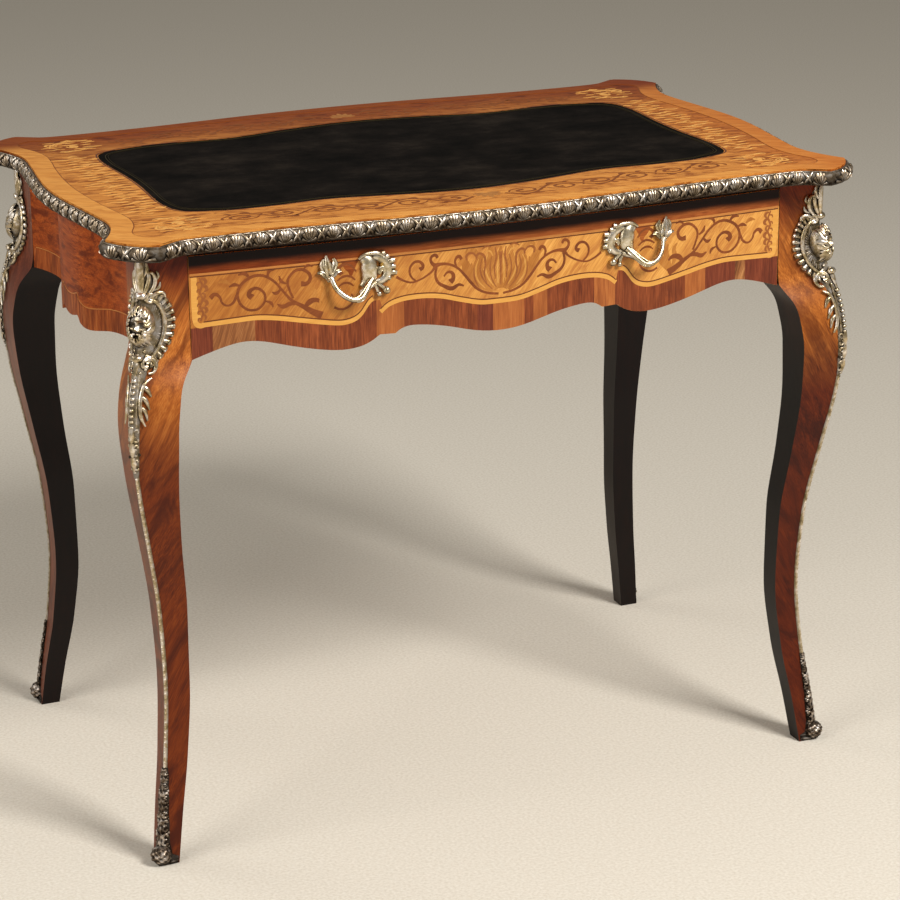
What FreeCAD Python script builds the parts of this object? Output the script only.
import FreeCAD, Part
import math
import os

Vec = FreeCAD.Vector

# A French style writing table: a shaped top with a leather inset and a cast edge
# moulding, four cabriole legs with cast mounts, shaped aprons on four sides, and
# one wide drawer whose front is the front apron.
# Millimetres. X runs along the length, the drawer faces -Y, Z is up, and the
# origin is on the floor under the middle of the top.

# Overall size of the wood
height = 765.0
top_length = 940.0
top_depth = 606.0
top_thickness = 20.0

# How far two glued or pinned curved pieces stand apart, and how far cuts overrun
seat_gap = 0.15
overrun = 5.0

# Outline of the top, one quarter, in shares of its half length and half depth.
# The long edge runs from its middle to the ear, the corner from the ear over a
# slightly round cant to the side ear, and the short edge from there to its middle.
long_edge_shares = [
    (0.0, 0.990), (0.213, 0.980), (0.426, 0.952), (0.640, 0.932), (0.765, 0.930), (0.850, 0.945),
    (0.900, 1.0),
]
corner_shares = [(0.900, 1.0), (0.958, 0.945), (1.0, 0.842)]
short_edge_shares = [
    (1.0, 0.842), (0.962, 0.715), (0.947, 0.594), (0.951, 0.495), (0.964, 0.330), (0.977, 0.165),
    (0.983, 0.0),
]

# Leather inset, let into a pocket in the top
leather_half_length = 360.0
leather_half_depth = 208.0
leather_thickness = 1.2
leather_recess = 0.4
leather_long_shares = [
    (0.0, 1.0), (0.165, 0.975), (0.32, 0.925), (0.50, 0.868), (0.66, 0.885), (0.83, 0.880), (0.90, 0.850),
]
leather_corner_shares = [(0.90, 0.850), (0.975, 0.790), (1.0, 0.690)]
leather_short_shares = [(1.0, 0.690), (1.008, 0.50), (1.0, 0.28), (0.994, 0.0)]

# Cast moulding round the edge of the top
moulding_height = 17.0
moulding_reach = 10.0
moulding_drop = 1.3
moulding_foot_share = 0.38
moulding_lip_share = 0.45
moulding_belly_share = 0.55
moulding_keep_share = 0.5

# Legs. The foot corner is where the outer corner of a leg meets the floor.
foot_inset_length = 23.0
foot_inset_depth = 28.4
leg_swing = 24.0
post_reach = 69.0
# Height up the leg, then in shares of the swing how far the outer corner and the
# outer flanks stand from the foot corner, then the inner faces in shares of the post.
leg_section_shares = [
    (0.0, -0.04, -0.04, 0.370),
    (0.080, -0.33, -0.33, 0.500),
    (0.175, -0.75, -0.75, 0.678),
    (0.295, -1.00, -1.00, 0.794),
    (0.416, -0.81, -0.81, 0.783),
    (0.537, -0.25, -0.25, 0.674),
    (0.644, 0.29, 0.29, 0.613),
    (0.725, 0.50, 0.49, 0.630),
    (0.772, 0.41, 0.33, 0.700),
    (0.803, 0.23, 0.02, 0.810),
    (0.8215, 0.08, -0.28, 0.940),
    (0.835, -0.04, -0.48, 1.030),
    (0.8725, -0.35, -0.58, 1.040),
    (0.926, -0.58, -0.58, 1.040),
    (1.0, -0.58, -0.58, 1.040),
]
leg_level_count = 30
post_set_share = 0.58
post_trim_share = 0.80

# Frieze: the drawer front, the back apron and the side aprons
apron_drop = 137.0
front_bow = 14.0
front_thickness = 16.0
side_swell = 12.0
side_hollow = 18.0
side_rail_thickness = 18.0
tenon_length = 20.0
tenon_thickness = 9.0
tenon_height_share = 0.62
# Lower edge of the long aprons, one half: share of the half width, share of the drop.
long_apron_middle_shares = [
    (0.0, 0.993), (0.09, 0.966), (0.17, 0.908), (0.27, 0.858), (0.325, 0.864), (0.352, 0.908),
]
long_apron_lobe_shares = [
    (0.405, 0.902), (0.455, 0.978), (0.515, 1.0), (0.60, 0.972), (0.70, 0.905), (0.83, 0.832),
    (0.92, 0.876), (1.0, 0.945),
]
# Lower edge of the short aprons, in the same way.
short_apron_middle_shares = [(0.0, 0.975), (0.07, 0.962), (0.145, 0.930)]
short_apron_lobe_shares = [
    (0.175, 0.990), (0.25, 1.020), (0.36, 1.004), (0.48, 0.970), (0.64, 0.955), (0.82, 0.935), (1.0, 0.930),
]
# Plan of the short aprons, one half: share of the half width, swell and hollow.
short_plan_shares = [
    (0.0, 1.0, 0.0), (0.22, 0.72, 0.0), (0.46, 0.0, 0.45), (0.70, 0.0, 1.0), (0.88, 0.0, 0.55),
    (1.0, 0.0, 0.0),
]

# Drawer and the rails that carry it
drawer_gap = 0.8
drawer_top_gap = 1.0
slide_gap = 0.4
drawer_side_thickness = 12.0
drawer_side_set = 3.0
drawer_side_height = 78.0
drawer_length = 460.0
drawer_back_thickness = 12.0
drawer_bottom_thickness = 6.0
drawer_bottom_lift = 10.0
groove_depth = 6.0
joint_gap = 0.05
dovetail_length = 10.0
dovetail_count = 3
dovetail_neck_share = 0.17
dovetail_flare_share = 0.26
top_rail_thickness = 7.0
top_rail_depth = 50.0
top_rail_set_back = 1.5
bearer_thickness = 18.0
bearer_depth = 54.0
bearer_drop = 93.0
runner_width = 56.0
guide_height = 20.0
kicker_width = 42.0
kicker_thickness = 14.0
stop_length = 20.0
stop_height = 6.0
stop_width = 40.0
stop_place_share = 0.4

# Glue blocks and screws
block_width = 18.0
block_length = 20.0
block_height = 45.0
block_drop = 20.0
screw_radius = 2.0
screw_head_radius = 4.0
screw_head_height = 2.6
screw_bite = 12.0
screw_clearance = 0.2
screw_bore_clearance = 0.03
screws_per_kicker = 3
front_screw_share = 0.55

# Mounts on the legs
mount_top_drop = 2.5
mount_height = 250.0
mount_width = 46.0
mount_thickness = 2.6
scroll_thickness = 6.5
leaf_thickness = 5.0
mask_half_height = 21.0
mask_radius = 14.0
mask_sink = 3.0
mask_place_share = 0.30
mount_edge_shares = [
    (0.0, 0.11), (0.056, 0.43), (0.12, 0.33), (0.17, 0.56), (0.235, 0.87), (0.29, 1.0), (0.37, 0.96),
    (0.435, 0.74), (0.48, 0.39), (0.555, 0.54), (0.63, 0.37), (0.705, 0.52), (0.80, 0.28), (0.92, 0.17),
    (1.0, 0.09),
]
scroll_edge_shares = [(0.15, 0.14), (0.21, 0.50), (0.30, 0.72), (0.39, 0.64), (0.46, 0.20)]
leaf_edge_shares = [(0.50, 0.10), (0.57, 0.26), (0.67, 0.30), (0.78, 0.18), (0.88, 0.07)]

# Strip along the outer corner of a leg, and the shoe on its foot
strip_width = 4.0
strip_thickness = 1.6
strip_point_count = 8
sabot_height = 118.0
sabot_width = 17.0
sabot_thickness = 2.4
toe_radius = 11.0
toe_half_height = 12.0
toe_lift = 10.0
toe_sink = 5.0
sabot_edge_shares = [
    (0.0, 0.18), (0.12, 0.53), (0.22, 0.40), (0.34, 0.78), (0.50, 0.72), (0.66, 0.84), (0.83, 1.0),
    (1.0, 1.0),
]

# Pins that hold the castings. Those of the mount: share of its height down from its
# top, then of its width in from the corner. Those of the shoe: the same, from the floor up.
pin_radius = 0.8
pin_length = 11.0
pin_head_radius = 1.8
pin_head_height = 0.9
pin_clearance = 0.03
pin_stagger = 4.0
knee_pin_shares = [(0.086, 0.30), (0.884, 0.13)]
sabot_pin_shares = [(0.70, 0.35), (0.30, 0.50)]

# Drawer pulls: a cartouche at the inner end, a swept grip and a three lobed leaf
pull_spacing = 364.0
pull_drop = 55.0
cartouche_length = 44.0
cartouche_height = 34.0
cartouche_place = 32.0
cartouche_rise = 16.0
cartouche_thickness = 5.0
cartouche_lift = 7.0
leaf_length = 30.0
leaf_height = 27.0
leaf_place = 31.0
leaf_rise = 17.0
leaf_plate_thickness = 4.0
leaf_lift = 7.0
grip_drop = 24.0
grip_lift = 19.0
grip_radius = 4.2
grip_tip_radius = 3.2
bud_radius = 4.5
bud_place = 41.0
bud_drop = 14.0
boss_radius = 4.5
boss_clearance = 0.15
bolt_radius = 2.0
bolt_bore_clearance = 0.03
bolt_hole_clearance = 0.3
bolt_bite = 5.0
bolt_tail = 3.0
nut_radius = 4.6
nut_thickness = 3.2
nut_sides = 6
# Outlines in shares of half the length and half the height of each plate, with
# the outer end of the pull towards plus.
cartouche_shares = [
    (-1.0, 0.30), (-0.62, 0.88), (0.25, 1.0), (0.85, 0.82), (0.66, 0.05), (0.95, -0.55), (0.45, -1.0),
    (-0.35, -0.72), (-0.85, -0.50),
]
leaf_shares = [
    (0.25, 1.0), (0.42, 0.42), (1.0, -0.05), (0.36, -0.42), (-0.20, -0.68), (-0.50, -0.20), (-1.0, 0.05),
    (-0.42, 0.36), (-0.05, 0.45),
]
# Line of the grip: share of the way from cartouche to leaf, of the drop, of the lift
grip_shares = [
    (0.16, 0.10, 0.50), (0.30, -0.55, 0.86), (0.52, -1.0, 1.0), (0.74, -0.72, 0.97), (0.88, -0.08, 0.80),
    (0.97, 0.50, 0.52),
]

# Values worked out from the sizes above
half_length = top_length/2
half_depth = top_depth/2
leg_length = height - top_thickness
foot_x = half_length - foot_inset_length
foot_y = half_depth - foot_inset_depth
post_set = leg_swing*post_set_share
post_outer_x = foot_x - post_set
post_outer_y = foot_y - post_set
post_inner_x = foot_x - post_reach
post_inner_y = foot_y - post_reach
side_inner_x = post_outer_x - side_hollow - side_rail_thickness
front_inner_y = post_outer_y - front_thickness
bearer_top = leg_length - bearer_drop
drawer_base = bearer_top + slide_gap
drawer_half_width = post_inner_x - drawer_gap
drawer_back_y = drawer_length - front_inner_y
mount_top = leg_length - mount_top_drop
pull_height = leg_length - pull_drop


def spline(points):
    """A smooth curve through points."""
    curve = Part.BSplineCurve()
    curve.interpolate(points)
    return curve.toShape()


def closed_spline(points):
    """A smooth closed curve through points."""
    curve = Part.BSplineCurve()
    curve.interpolate(Points=points, PeriodicFlag=True)
    return Part.Wire([curve.toShape()])


def line(start, end):
    """A straight edge."""
    return Part.LineSegment(start, end).toShape()


def polygon(points):
    """A closed wire of straight edges."""
    return Part.makePolygon(points + [points[0]])


def prism(edges, way):
    """A solid made by moving the face inside edges along way."""
    wire = Part.Wire(Part.__sortEdges__(edges))
    return Part.Face(wire).extrude(way)


def box(low, high):
    """A box between two corners."""
    size = high - low
    return Part.makeBox(size.x, size.y, size.z, low)


def mirrored(points, axis):
    """Points of a curve and of its mirror image, in order, the middle point once."""
    sign = Vec(-1, 1, 1) if axis == "x" else Vec(1, -1, 1)
    other = [Vec(p.x*sign.x, p.y*sign.y, p.z) for p in reversed(points)]
    return other[:-1] + points


def flip_x(shape):
    """The mirror image on the other side of the middle of the length."""
    return shape.mirror(Vec(0, 0, 0), Vec(1, 0, 0))


def flip_y(shape):
    """The mirror image on the other side of the middle of the depth."""
    return shape.mirror(Vec(0, 0, 0), Vec(0, 1, 0))


def four_ways(shape):
    """A piece made for the back right corner, copied to every corner."""
    return {
        "back_right": shape,
        "back_left": flip_x(shape),
        "front_right": flip_y(shape),
        "front_left": flip_x(flip_y(shape)),
    }


def export(shape, name):
    """Write one node."""
    shape.exportStep("parts/" + name + ".step")


def outline_runs(long_shares, corner, short_shares, reach_x, reach_y, level):
    """The eight runs of a shaped outline, as lists of points, anticlockwise from the front."""
    def placed(shares):
        return [Vec(reach_x*a, reach_y*b, level) for a, b in shares]

    back = mirrored(placed(long_shares), "x")
    turn = placed(corner)
    right = mirrored(list(reversed(placed(short_shares))), "y")
    front = [Vec(p.x, -p.y, p.z) for p in back]
    left = [Vec(-p.x, -p.y, p.z) for p in right]
    return {
        "front": front,
        "front_right": [Vec(p.x, -p.y, p.z) for p in turn],
        "right": right,
        "back_right": [Vec(p.x, p.y, p.z) for p in reversed(turn)],
        "back": list(reversed(back)),
        "back_left": [Vec(-p.x, p.y, p.z) for p in turn],
        "left": left,
        "front_left": [Vec(-p.x, -p.y, p.z) for p in reversed(turn)],
    }


def top_runs(level):
    """The runs of the outline of the top at one level."""
    return outline_runs(long_edge_shares, corner_shares, short_edge_shares, half_length, half_depth, level)


def leather_blank(level, thickness):
    """The shape of the leather inset at one level."""
    runs = outline_runs(
        leather_long_shares, leather_corner_shares, leather_short_shares,
        leather_half_length, leather_half_depth, level)
    return prism([spline(points) for points in runs.values()], Vec(0, 0, thickness))


def screw_places():
    """Where the screws that hold the top stand, with the level of each head."""
    places = []
    for side in (-1, 1):
        x = side*(side_inner_x + drawer_half_width)/2
        for index in range(screws_per_kicker):
            y = post_inner_y*(2*(index + 0.5)/screws_per_kicker - 1)
            places.append(Vec(x, y, leg_length - kicker_thickness))
        front_y = -(front_inner_y - top_rail_depth/2)
        places.append(Vec(side*post_inner_x*front_screw_share, front_y, leg_length - top_rail_thickness))
    return places


def screw(place, clearance, bore_clearance, top):
    """A countersunk wood screw whose head lies at place and whose tip is at top."""
    head = Part.makeCone(
        screw_head_radius + clearance, screw_radius + clearance, screw_head_height, place)
    shank = Part.makeCylinder(screw_radius + bore_clearance, top - place.z, place)
    return head.fuse(shank)


def cut_screws(shape):
    """Screw holes through a piece that the screws pass."""
    for place in screw_places():
        shape = shape.cut(screw(place, screw_clearance, screw_bore_clearance, leg_length + screw_bite))
    return shape


def make_top_panel():
    """The shaped top board with its pocket for the leather."""
    edges = [spline(points) for points in top_runs(leg_length).values()]
    panel = prism(edges, Vec(0, 0, top_thickness))
    pocket_depth = leather_thickness + leather_recess
    panel = panel.cut(leather_blank(height - pocket_depth, pocket_depth + overrun))
    return cut_screws(panel)


def make_leather():
    """The leather skin in its pocket."""
    return leather_blank(height - leather_thickness - leather_recess, leather_thickness)


def moulding_profile(start, outward):
    """The section of the edge moulding, standing on the edge of the top at start."""
    low = height - moulding_drop - moulding_height
    middle = low + moulding_height*moulding_belly_share
    high = height - moulding_drop

    def at(reach, level):
        return Vec(start.x, start.y, level) + outward*reach

    foot = moulding_reach*moulding_foot_share
    lip = moulding_reach*moulding_lip_share
    belly = Part.Arc(at(foot, low), at(moulding_reach, middle), at(lip, high)).toShape()
    edges = [line(at(seat_gap, high), at(seat_gap, low)), line(at(seat_gap, low), at(foot, low)), belly]
    edges.append(line(at(lip, high), at(seat_gap, high)))
    return Part.Wire(Part.__sortEdges__(edges))


def outward_of(way):
    """The side of a run that faces away from the top, for runs taken anticlockwise."""
    return Vec(way.y, -way.x, 0).normalize()


def run_ends(points):
    """The end points of a run and its directions there."""
    curve = Part.BSplineCurve()
    curve.interpolate(points)
    first = curve.tangent(curve.FirstParameter)[0]
    last = curve.tangent(curve.LastParameter)[0]
    return points[0], first, points[-1], last


def moulding_run(name, runs):
    """One length of moulding, mitred against its neighbours."""
    names = list(runs)
    place = names.index(name)
    before = run_ends(runs[names[place - 1]])
    after = run_ends(runs[names[(place + 1) % len(names)]])
    start, first, end, last = run_ends(runs[name])
    tail = moulding_reach*2
    path = Part.Wire([line(start - first*tail, start), spline(runs[name]), line(end, end + last*tail)])
    body = path.makePipeShell([moulding_profile(start - first*tail, outward_of(first))], True, False)
    mitre_start = (outward_of(first) + outward_of(before[3])).normalize()
    mitre_end = (outward_of(last) + outward_of(after[1])).normalize()
    inward = tail/2
    outward = tail*2
    corners = [
        start - mitre_start*inward, start + mitre_start*outward,
        end + mitre_end*outward, end - mitre_end*inward]
    if name in ("front", "back", "left", "right"):
        corners.append((start + end)/2*moulding_keep_share)
    low = Vec(0, 0, -height)
    keep = Part.Face(polygon([Vec(p.x, p.y, height) + low for p in corners])).extrude(Vec(0, 0, 2*height))
    return body.common(keep)


def slopes(rows, column):
    """The slope at each row of a table, level wherever the values turn, so nothing overshoots."""
    steps = [(b[column] - a[column])/(b[0] - a[0]) for a, b in zip(rows, rows[1:])]
    inner = [2*a*b/(a + b) if a*b > 0 else 0 for a, b in zip(steps, steps[1:])]
    return [steps[0]] + inner + [steps[-1]]


def smooth_value(rows, column, up):
    """One column of a table between its rows, on a smooth curve."""
    tilt = slopes(rows, column)
    for index in range(len(rows) - 1):
        first, second = rows[index], rows[index + 1]
        if up <= second[0] or index == len(rows) - 2:
            span = second[0] - first[0]
            t = (up - first[0])/span
            start = (2*t**3 - 3*t**2 + 1)*first[column] + (t**3 - 2*t**2 + t)*span*tilt[index]
            end = (3*t**2 - 2*t**3)*second[column] + (t**3 - t**2)*span*tilt[index + 1]
            return start + end


def upright_edge(reaches_x, reaches_y, ups):
    """A smooth edge up a leg, through its reach from the foot corner at each level."""
    points = [Vec(foot_x + x, foot_y + y, leg_length*up) for x, y, up in zip(reaches_x, reaches_y, ups)]
    curve = Part.BSplineCurve()
    curve.interpolate(Points=points, Parameters=ups)
    return curve.toShape()


def leg_block(grow, inset):
    """The curved body of a leg, its outer flanks moved out by grow, its inner faces in by inset."""
    ups = [index/leg_level_count for index in range(leg_level_count + 1)]
    far = [leg_swing*smooth_value(leg_section_shares, 1, up) + grow for up in ups]
    side = [leg_swing*smooth_value(leg_section_shares, 2, up) + grow for up in ups]
    near = [inset - post_reach*smooth_value(leg_section_shares, 3, up) for up in ups]
    pairs = [(far, far), (near, side), (near, near), (side, near)]
    edges = [upright_edge(along, across, ups) for along, across in pairs]
    faces = [Part.makeRuledSurface(first, second) for first, second in zip(edges, edges[1:] + edges[:1])]
    for end in (0, -1):
        faces.append(Part.Face(polygon([edge.Vertexes[end].Point for edge in edges])))
    shell = Part.makeShell(faces)
    shell.sewShape()
    block = Part.makeSolid(shell)
    if block.Volume < 0:
        block.reverse()
    return block


def corner_offset(level):
    """How far the outer corner of a leg stands from the foot corner at one level."""
    return leg_swing*smooth_value(leg_section_shares, 1, level/leg_length)


def make_leg_blank():
    """A leg for the back right corner, its post trimmed flat for the rails."""
    leg = leg_block(0, 0)
    low = leg_length*post_trim_share
    far = post_reach*2
    leg = cut_pins(leg)
    for trim in (
            box(Vec(post_inner_x - far, foot_y - far, low), Vec(post_inner_x, foot_y + far, height)),
            box(Vec(foot_x - far, post_inner_y - far, low), Vec(foot_x + far, post_inner_y, height))):
        leg = leg.cut(trim)
    return leg


def corner_shell(thickness, edge_shares, top, length, width):
    """A casting that hugs the outer corner of a leg, with a shaped edge on both flanks."""
    shell = leg_block(seat_gap + thickness, overrun).cut(leg_block(seat_gap, 0))
    levels = [(top - length*down, width*across) for down, across in edge_shares]
    for axis in ("x", "y"):
        corner = foot_x if axis == "x" else foot_y
        across = [corner + corner_offset(level) - reach for level, reach in levels]
        far = corner + leg_swing*2

        def at(reach, level):
            return Vec(reach, 0, level) if axis == "x" else Vec(0, reach, level)

        curve = spline([at(reach, pair[0]) for reach, pair in zip(across, levels)])
        high = levels[0][0]
        low = levels[-1][0]
        edges = [curve, line(at(across[-1], low), at(far, low)), line(at(far, low), at(far, high))]
        edges.append(line(at(far, high), at(across[0], high)))
        way = Vec(0, top_depth, 0) if axis == "x" else Vec(top_length, 0, 0)
        shell = shell.common(prism(edges, way))
    return shell


def corner_pins(clearance):
    """The pins of one corner, two in each flank of the knee mount and of the shoe."""
    rows = [
        (mount_top - mount_height*down, mount_width*across, mount_thickness)
        for down, across in knee_pin_shares]
    rows += [(sabot_height*up, sabot_width*across, sabot_thickness) for up, across in sabot_pin_shares]
    pins = []
    for level, across, thickness in rows:
        offset = corner_offset(level)
        out = offset + seat_gap + thickness
        pins.append(pin(Vec(foot_x + offset - across, foot_y + out, level), Vec(0, 1, 0), clearance))
        level -= pin_stagger
        offset = corner_offset(level)
        out = offset + seat_gap + thickness
        pins.append(pin(Vec(foot_x + out, foot_y + offset - across, level), Vec(1, 0, 0), clearance))
    return pins


def pin(place, outward, clearance):
    """A headed pin driven in at place, against outward."""
    seat = place + outward*(pin_clearance - clearance)
    head = Part.makeCylinder(pin_head_radius + clearance, pin_head_height + clearance, seat, outward)
    shank = Part.makeCylinder(pin_radius + clearance, pin_length + clearance, seat, outward*-1)
    return head.fuse(shank)


def cut_pins(shape):
    """Holes for the pins of one corner."""
    for hole in corner_pins(pin_clearance):
        shape = shape.cut(hole)
    return shape


def egg(centre, radius, half_height):
    """A solid egg with an upright axis."""
    tall = half_height > radius
    major = max(half_height, radius)
    minor = min(half_height, radius)
    frame = Part.Ellipse(Vec(0, 0, 0), major, minor)
    if tall:
        frame.rotate(FreeCAD.Placement(Vec(0, 0, 0), Vec(0, 0, 1), 90))
    arc = frame.toShape()
    half = Part.Face(Part.Wire([arc])).common(Part.makePlane(2*major, 4*major, Vec(0, -2*major, 0)))
    solid = half.revolve(Vec(0, 0, 0), Vec(0, 1, 0), 360)
    solid.rotate(Vec(0, 0, 0), Vec(1, 0, 0), 90)
    solid.translate(centre)
    return solid


def make_knee_mount():
    """The casting on the knee: a leafy plate, a raised scroll, a mask boss and a leaf drop."""
    place = (mount_top, mount_height, mount_width)
    mount = corner_shell(mount_thickness, mount_edge_shares, *place)
    mount = mount.fuse(corner_shell(scroll_thickness, scroll_edge_shares, *place))
    mount = mount.fuse(corner_shell(leaf_thickness, leaf_edge_shares, *place))
    level = mount_top - mount_height*mask_place_share
    reach = corner_offset(level) + scroll_thickness - mask_sink
    mask = egg(Vec(foot_x + reach, foot_y + reach, level), mask_radius, mask_half_height)
    return cut_pins(mount.fuse(mask.cut(leg_block(seat_gap, 0))).removeSplitter())


def make_strip():
    """The thin strip along the outer corner, from the mount to the shoe."""
    top = mount_top - mount_height - seat_gap
    length = top - sabot_height - seat_gap
    edge_shares = [(index/strip_point_count, 1.0) for index in range(strip_point_count + 1)]
    return corner_shell(strip_thickness, edge_shares, top, length, strip_width)


def make_sabot():
    """The leafy shoe with its round toe."""
    shoe = corner_shell(sabot_thickness, sabot_edge_shares, sabot_height, sabot_height, sabot_width)
    reach = corner_offset(0) + sabot_thickness - toe_sink
    toe = egg(Vec(foot_x + reach, foot_y + reach, toe_lift), toe_radius, toe_half_height)
    toe = toe.cut(box(Vec(0, 0, -height), Vec(top_length, top_depth, 0)))
    return cut_pins(shoe.fuse(toe.cut(leg_block(seat_gap, 0))).removeSplitter())


def bow_at(x):
    """How far the front stands out past the posts at x."""
    radius = (post_inner_x**2 + front_bow**2)/(2*front_bow)
    return math.sqrt(radius**2 - x**2) - radius + front_bow


def bowed_board(half_width, back, low, high, set_back):
    """A board at the back of the table with a bowed outer face."""
    ends = post_outer_y + bow_at(half_width) - set_back
    middle = post_outer_y + front_bow - set_back
    face = Part.Arc(Vec(-half_width, ends, low), Vec(0, middle, low), Vec(half_width, ends, low)).toShape()
    edges = [face, line(Vec(half_width, ends, low), Vec(half_width, back, low))]
    edges.append(line(Vec(half_width, back, low), Vec(-half_width, back, low)))
    edges.append(line(Vec(-half_width, back, low), Vec(-half_width, ends, low)))
    return prism(edges, Vec(0, 0, high - low))


def apron_face(middle_shares, lobe_shares, half_width, top, axis):
    """The elevation of an apron: a straight top and a shaped lower edge."""
    def at(across, level):
        return Vec(across, 0, level) if axis == "x" else Vec(0, across, level)

    def placed(shares, side):
        return [at(side*half_width*a, leg_length - apron_drop*b) for a, b in shares]

    right = placed(middle_shares, 1)
    left = placed(middle_shares, -1)
    middle = list(reversed(left))[:-1] + right
    lobe_right = placed(lobe_shares, 1)
    lobe_left = placed(lobe_shares, -1)
    edges = [spline(middle), spline(lobe_right), spline(lobe_left)]
    edges.append(line(right[-1], lobe_right[0]))
    edges.append(line(left[-1], lobe_left[0]))
    edges.append(line(lobe_right[-1], at(half_width, top)))
    edges.append(line(lobe_left[-1], at(-half_width, top)))
    edges.append(line(at(half_width, top), at(-half_width, top)))
    return edges


def long_apron(half_width, top):
    """A long apron at the back: bowed in plan, shaped along its lower edge."""
    board = bowed_board(half_width, front_inner_y, leg_length - apron_drop*2, top, 0)
    edges = apron_face(long_apron_middle_shares, long_apron_lobe_shares, half_width, top, "x")
    return board.common(prism(edges, Vec(0, top_depth, 0)))


def tenon(centre, along_x, height_of):
    """A flat tenon that runs past centre both ways, along X or along Y."""
    half = Vec(tenon_length, tenon_thickness/2, height_of/2)
    if not along_x:
        half = Vec(tenon_thickness/2, tenon_length, height_of/2)
    return box(centre - half, centre + half)


def make_back_rail():
    """The back apron with a tenon at each end."""
    rail = long_apron(post_inner_x, leg_length)
    middle = leg_length - apron_drop/2
    for side in (-1, 1):
        centre = Vec(side*post_inner_x, (front_inner_y + post_outer_y)/2, middle)
        rail = rail.fuse(tenon(centre, True, apron_drop*tenon_height_share))
    return rail.removeSplitter()


def make_side_rail():
    """The right side apron: a serpentine face, a flat back and a tenon at each end."""
    plan = [
        Vec(post_outer_x + side_swell*swell - side_hollow*hollow, post_inner_y*along, 0)
        for along, swell, hollow in short_plan_shares]
    face = mirrored(plan, "y")
    edges = [spline(face)]
    edges.append(line(face[0], Vec(side_inner_x, face[0].y, 0)))
    edges.append(line(face[-1], Vec(side_inner_x, face[-1].y, 0)))
    edges.append(line(Vec(side_inner_x, face[0].y, 0), Vec(side_inner_x, face[-1].y, 0)))
    board = prism(edges, Vec(0, 0, leg_length))
    edges = apron_face(short_apron_middle_shares, short_apron_lobe_shares, post_inner_y, leg_length, "y")
    rail = board.common(prism(edges, Vec(top_length, 0, 0)))
    middle = leg_length - apron_drop/2
    for end in (-1, 1):
        centre = Vec(side_inner_x + tenon_thickness, end*post_inner_y, middle)
        rail = rail.fuse(tenon(centre, False, apron_drop*tenon_height_share))
    return rail.removeSplitter()


def make_top_rail():
    """The thin rail over the drawer front, bowed like it."""
    back = front_inner_y - top_rail_depth
    low = leg_length - top_rail_thickness
    rail = bowed_board(post_inner_x, back, low, leg_length, top_rail_set_back)
    for side in (-1, 1):
        centre = Vec(side*post_inner_x, back + tenon_length, low + top_rail_thickness/2)
        half = Vec(tenon_length/2, tenon_length/2, top_rail_thickness/2)
        rail = rail.fuse(box(centre - half, centre + half))
    return cut_screws(flip_y(rail.removeSplitter()))


def make_bearer():
    """The rail behind the drawer front that the drawer runs over."""
    front = -(front_inner_y - slide_gap)
    low = bearer_top - bearer_thickness
    rail = box(Vec(-post_inner_x, front, low), Vec(post_inner_x, front + bearer_depth, bearer_top))
    for side in (-1, 1):
        centre = Vec(side*post_inner_x, front + tenon_length, low + bearer_thickness/2)
        rail = rail.fuse(tenon(centre, True, bearer_thickness*tenon_height_share))
    return rail.removeSplitter()


def make_runner():
    """The right runner, fixed to the side apron under the edge of the drawer, notched for the post."""
    front = -(front_inner_y - slide_gap) + bearer_depth
    inner = side_inner_x - runner_width
    low = bearer_top - bearer_thickness
    runner = box(
        Vec(inner, front + seat_gap, low),
        Vec(side_inner_x - seat_gap, front_inner_y - seat_gap, bearer_top))
    notch = box(
        Vec(post_inner_x - seat_gap, post_inner_y - seat_gap, low),
        Vec(side_inner_x, front_inner_y, bearer_top))
    return runner.cut(notch)


def make_guide():
    """The right guide, which keeps the drawer straight on its runner."""
    inner = drawer_half_width - drawer_side_set + slide_gap
    return box(
        Vec(inner, -post_inner_y + seat_gap, bearer_top),
        Vec(side_inner_x - seat_gap, post_inner_y - seat_gap, bearer_top + guide_height))


def make_kicker():
    """The right kicker, which stops the open drawer from tipping."""
    low = leg_length - kicker_thickness
    front = -(front_inner_y - top_rail_depth)
    kicker = box(
        Vec(side_inner_x - kicker_width, front + seat_gap, low),
        Vec(side_inner_x - seat_gap, post_inner_y - seat_gap, leg_length))
    return cut_screws(kicker)


def make_stops():
    """Two small blocks that the closed drawer front comes to rest against."""
    blocks = []
    for side in (-1, 1):
        x = side*post_inner_x*stop_place_share
        front = -(front_inner_y - slide_gap)
        blocks.append(box(
            Vec(x - stop_width/2, front, bearer_top),
            Vec(x + stop_width/2, front + stop_length, bearer_top + stop_height)))
    return Part.makeCompound(blocks)


def make_blocks():
    """Glue blocks in the corners between the posts and the side and back aprons."""
    high = leg_length - block_drop
    low = high - block_height
    side = box(
        Vec(post_inner_x + seat_gap, post_inner_y - block_length - seat_gap, low),
        Vec(side_inner_x - seat_gap, post_inner_y - seat_gap, high))
    back = box(
        Vec(post_inner_x - block_width - seat_gap, front_inner_y - block_length - seat_gap, low),
        Vec(post_inner_x - seat_gap, front_inner_y - seat_gap, high))
    return Part.makeCompound([side, flip_x(side), flip_y(side), flip_x(flip_y(side)), back, flip_x(back)])


def dovetails(grow):
    """The tails on the front end of the right drawer side."""
    outer = drawer_half_width - drawer_side_set
    pitch = drawer_side_height/dovetail_count
    tails = []
    for index in range(dovetail_count):
        level = drawer_base + pitch*(index + 0.5)
        neck = pitch*dovetail_neck_share + grow
        flare = pitch*dovetail_flare_share + grow
        root = -front_inner_y
        tip = -(front_inner_y + dovetail_length + grow)
        corners = [
            Vec(outer, root, level - neck), Vec(outer, tip, level - flare),
            Vec(outer, tip, level + flare), Vec(outer, root, level + neck)]
        tail = Part.Face(polygon(corners)).extrude(Vec(-drawer_side_thickness, 0, 0))
        tails.append(tail)
    return tails


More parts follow.
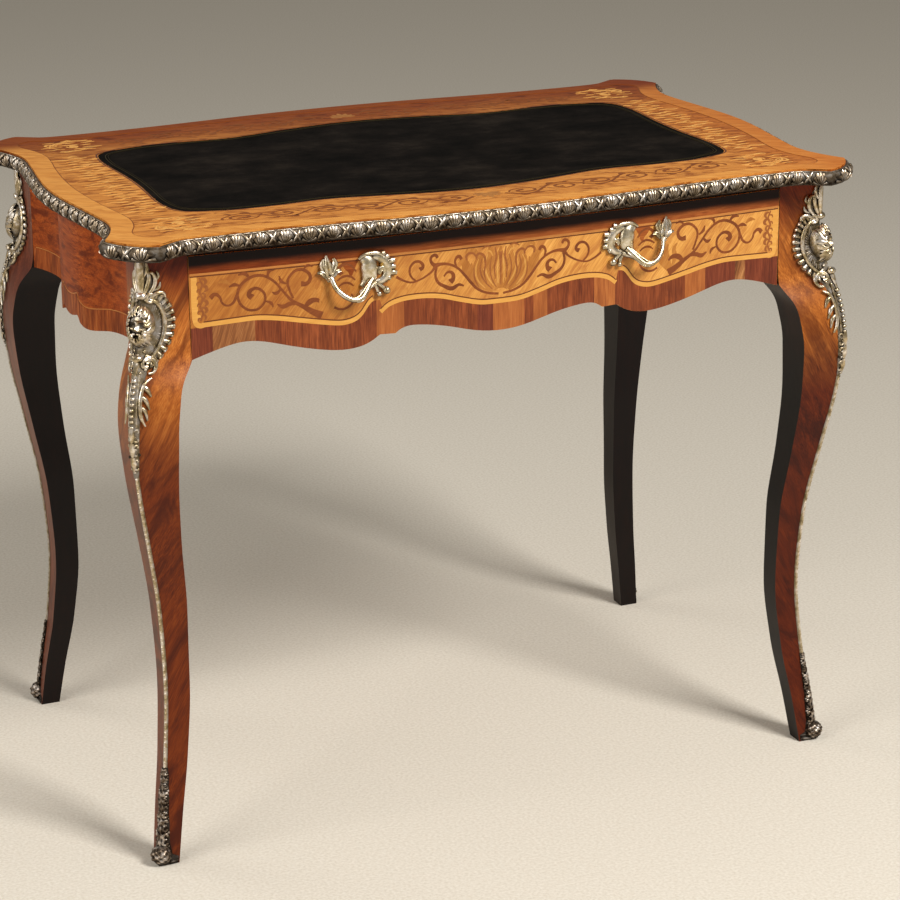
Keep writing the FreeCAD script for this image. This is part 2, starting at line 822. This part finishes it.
def make_drawer_side():
    """The right drawer side with its tails and the groove for the bottom."""
    outer = drawer_half_width - drawer_side_set
    inner = outer - drawer_side_thickness
    side = box(
        Vec(inner, -front_inner_y, drawer_base),
        Vec(outer, drawer_back_y, drawer_base + drawer_side_height))
    for tail in dovetails(0):
        side = side.fuse(tail)
    side = side.removeSplitter()
    groove_low = drawer_base + drawer_bottom_lift
    groove = box(
        Vec(inner - overrun, -front_inner_y - groove_depth, groove_low),
        Vec(inner + groove_depth, drawer_back_y + overrun, groove_low + drawer_bottom_thickness))
    side = side.cut(groove)
    return side.cut(drawer_back_board())


def drawer_back_board():
    """The back of the drawer, let into both sides by half the groove depth."""
    reach = drawer_half_width - drawer_side_set - drawer_side_thickness + groove_depth/2
    low = drawer_base + drawer_bottom_lift + drawer_bottom_thickness
    high = drawer_base + drawer_side_height - drawer_bottom_lift
    back = drawer_back_y - drawer_bottom_lift
    return box(Vec(-reach, back - drawer_back_thickness, low), Vec(reach, back, high))


def make_drawer_bottom():
    """The thin bottom board in its grooves."""
    reach = drawer_half_width - drawer_side_set - drawer_side_thickness + groove_depth - seat_gap
    low = drawer_base + drawer_bottom_lift
    return box(
        Vec(-reach, -front_inner_y - groove_depth + seat_gap, low),
        Vec(reach, drawer_back_y - drawer_bottom_lift, low + drawer_bottom_thickness))


def bolt_places():
    """Where the two bolts of the right pull stand, with the lift of the plate each holds."""
    middle = pull_spacing/2
    return [
        (middle - cartouche_place, pull_height + cartouche_rise, cartouche_lift),
        (middle + leaf_place, pull_height + leaf_rise, leaf_lift)]


def face_y(x):
    """Where the face of the drawer front lies at x."""
    return -(post_outer_y + bow_at(x))


def make_drawer_front():
    """The drawer front: bowed, shaped below, with sockets, a groove and bolt holes."""
    front = flip_y(long_apron(drawer_half_width, leg_length - top_rail_thickness - drawer_top_gap))
    for tail in dovetails(joint_gap):
        front = front.cut(tail)
        front = front.cut(flip_x(tail))
    reach = drawer_half_width - drawer_side_set - drawer_side_thickness + groove_depth
    low = drawer_base + drawer_bottom_lift
    front = front.cut(box(
        Vec(-reach, -front_inner_y - groove_depth, low),
        Vec(reach, -front_inner_y + overrun, low + drawer_bottom_thickness)))
    for x, level, lift in bolt_places():
        for side in (-1, 1):
            start = Vec(side*x, -half_depth, level)
            front = front.cut(Part.makeCylinder(
                bolt_radius + bolt_hole_clearance, half_depth, start, Vec(0, 1, 0)))
    return front


def plate(outline_shares, size, centre, thickness):
    """A shaped flat plate that faces the front, its back at centre."""
    length, tall = size
    points = [Vec(centre.x + a*length/2, centre.y, centre.z + b*tall/2) for a, b in outline_shares]
    return Part.Face(closed_spline(points)).extrude(Vec(0, -thickness, 0))


def grip_line():
    """The line of the grip of the right pull, from the cartouche down and out to the leaf."""
    middle = pull_spacing/2
    start = middle - cartouche_place
    span = cartouche_place + leaf_place
    points = []
    for along, drop, lift in grip_shares:
        x = start + span*along
        level = pull_height + (grip_drop*drop if drop < 0 else leaf_rise*drop)
        points.append(Vec(x, face_y(x) - grip_lift*lift, level))
    return points


def make_grip():
    """The swept grip, round in section and thinner towards the leaf."""
    points = grip_line()
    path = Part.Wire([spline(points)])
    curve = Part.BSplineCurve()
    curve.interpolate(points)
    first = curve.tangent(curve.FirstParameter)[0]
    last = curve.tangent(curve.LastParameter)[0]
    thick = Part.Wire([Part.Circle(points[0], first, grip_radius).toShape()])
    thin = Part.Wire([Part.Circle(points[-1], last, grip_tip_radius).toShape()])
    return path.makePipeShell([thick, thin], True, False)


def make_pull():
    """The right pull: cartouche, bud, grip, leaf and the two bosses that meet the drawer."""
    middle = pull_spacing/2
    pull = make_grip()
    cartouche_x = middle - cartouche_place
    cartouche = Vec(cartouche_x, face_y(cartouche_x) - cartouche_lift, pull_height + cartouche_rise)
    size = (cartouche_length, cartouche_height)
    pull = pull.fuse(plate(cartouche_shares, size, cartouche, cartouche_thickness))
    leaf_x = middle + leaf_place
    leaf = Vec(leaf_x, face_y(leaf_x) - leaf_lift, pull_height + leaf_rise)
    pull = pull.fuse(plate(leaf_shares, (leaf_length, leaf_height), leaf, leaf_plate_thickness))
    pull = pull.fuse(Part.makeSphere(grip_radius, grip_line()[0]))
    pull = pull.fuse(Part.makeSphere(grip_tip_radius, grip_line()[-1]))
    pull = pull.fuse(make_bud(cartouche))
    for x, level, lift in bolt_places():
        pull = pull.fuse(boss(x, level, lift))
    for x, level, lift in bolt_places():
        pull = pull.cut(bolt_shank(x, level, lift, bolt_bore_clearance))
    return pull.removeSplitter()


def make_bud(cartouche):
    """The small bud that hangs under the cartouche on a short stem."""
    centre = Vec(pull_spacing/2 - bud_place, cartouche.y - cartouche_thickness/2, pull_height - bud_drop)
    root = Vec(cartouche.x, cartouche.y - cartouche_thickness/2, pull_height + bud_radius)
    way = root - centre
    stem = Part.makeCylinder(bud_radius/2, way.Length, centre, way)
    return Part.makeSphere(bud_radius, centre).fuse(stem)


def boss(x, level, lift):
    """A round boss from the back of a plate to the face of the drawer front."""
    outer = face_y(x) - lift - cartouche_thickness/2
    start = Vec(x, outer, level)
    rough = Part.makeCylinder(boss_radius, lift*2, start, Vec(0, 1, 0))
    shadow = flip_y(bowed_board(drawer_half_width, 0, leg_length - apron_drop*2, height, -boss_clearance))
    return rough.cut(shadow)


def bolt_shank(x, level, lift, clearance):
    """The straight body of a bolt from inside the casting to inside the drawer."""
    start = Vec(x, face_y(x) - bolt_bite, level)
    inner = -front_inner_y + nut_thickness + bolt_tail
    return Part.makeCylinder(bolt_radius + clearance, inner - start.y, start, Vec(0, 1, 0))


def make_bolts():
    """The four bolts of the two pulls."""
    shanks = [bolt_shank(x, level, lift, 0) for x, level, lift in bolt_places()]
    return Part.makeCompound(shanks + [flip_x(shank) for shank in shanks])


def make_nuts():
    """Six sided nuts on the bolts, against the back of the drawer front."""
    nuts = []
    for x, level, lift in bolt_places():
        back = -front_inner_y + seat_gap
        turns = [2*math.pi*index/nut_sides for index in range(nut_sides)]
        corners = [Vec(x + nut_radius*math.cos(a), back, level + nut_radius*math.sin(a)) for a in turns]
        nut = Part.Face(polygon(corners)).extrude(Vec(0, nut_thickness, 0))
        nut = nut.cut(bolt_shank(x, level, lift, bolt_bore_clearance))
        nuts += [nut, flip_x(nut)]
    return Part.makeCompound(nuts)


def make_screws():
    """The screws that hold the top down."""
    tip = leg_length + screw_bite - seat_gap
    return Part.makeCompound([screw(place, 0, 0, tip) for place in screw_places()])


os.makedirs("parts", exist_ok=True)

# The top
export(make_top_panel(), "top_panel")
export(make_leather(), "leather_inset")
edge_runs = top_runs(height)
for run_name in edge_runs:
    kind = "edge_moulding_" if run_name in ("front", "back", "left", "right") else "corner_moulding_"
    export(moulding_run(run_name, edge_runs), kind + run_name)

# The rails
back_rail = make_back_rail()
side_rail = make_side_rail()
top_rail = make_top_rail()
bearer = make_bearer()
export(back_rail, "back_rail")
export(side_rail, "side_rail_right")
export(flip_x(side_rail), "side_rail_left")
export(top_rail, "front_top_rail")
export(bearer, "front_bearer_rail")

# The legs, morticed for the tenons of the rails
for corner_name, leg in four_ways(make_leg_blank()).items():
    for rail in (back_rail, side_rail, flip_x(side_rail), top_rail, bearer):
        leg = leg.cut(rail)
    export(leg, "leg_" + corner_name)

# The mounts
for corner_name, casting in four_ways(make_knee_mount()).items():
    export(casting, "knee_mount_" + corner_name)
for corner_name, casting in four_ways(make_strip()).items():
    export(casting, "corner_strip_" + corner_name)
for corner_name, casting in four_ways(make_sabot()).items():
    export(casting, "sabot_" + corner_name)

pin_set = Part.makeCompound(corner_pins(0))
export(Part.makeCompound(list(four_ways(pin_set).values())), "mount_pins")

# What carries the drawer
for maker, node in ((make_runner, "runner"), (make_guide, "guide"), (make_kicker, "kicker")):
    right = maker()
    export(right, node + "_right")
    export(flip_x(right), node + "_left")
export(make_stops(), "drawer_stops")
export(make_blocks(), "glue_blocks")
export(make_screws(), "top_screws")

# The drawer
drawer_side = make_drawer_side()
export(make_drawer_front(), "drawer_front")
export(drawer_side, "drawer_side_right")
export(flip_x(drawer_side), "drawer_side_left")
export(drawer_back_board(), "drawer_back")
export(make_drawer_bottom(), "drawer_bottom")
pull = make_pull()
export(pull, "pull_right")
export(flip_x(pull), "pull_left")
export(make_bolts(), "pull_bolts")
export(make_nuts(), "pull_nuts")
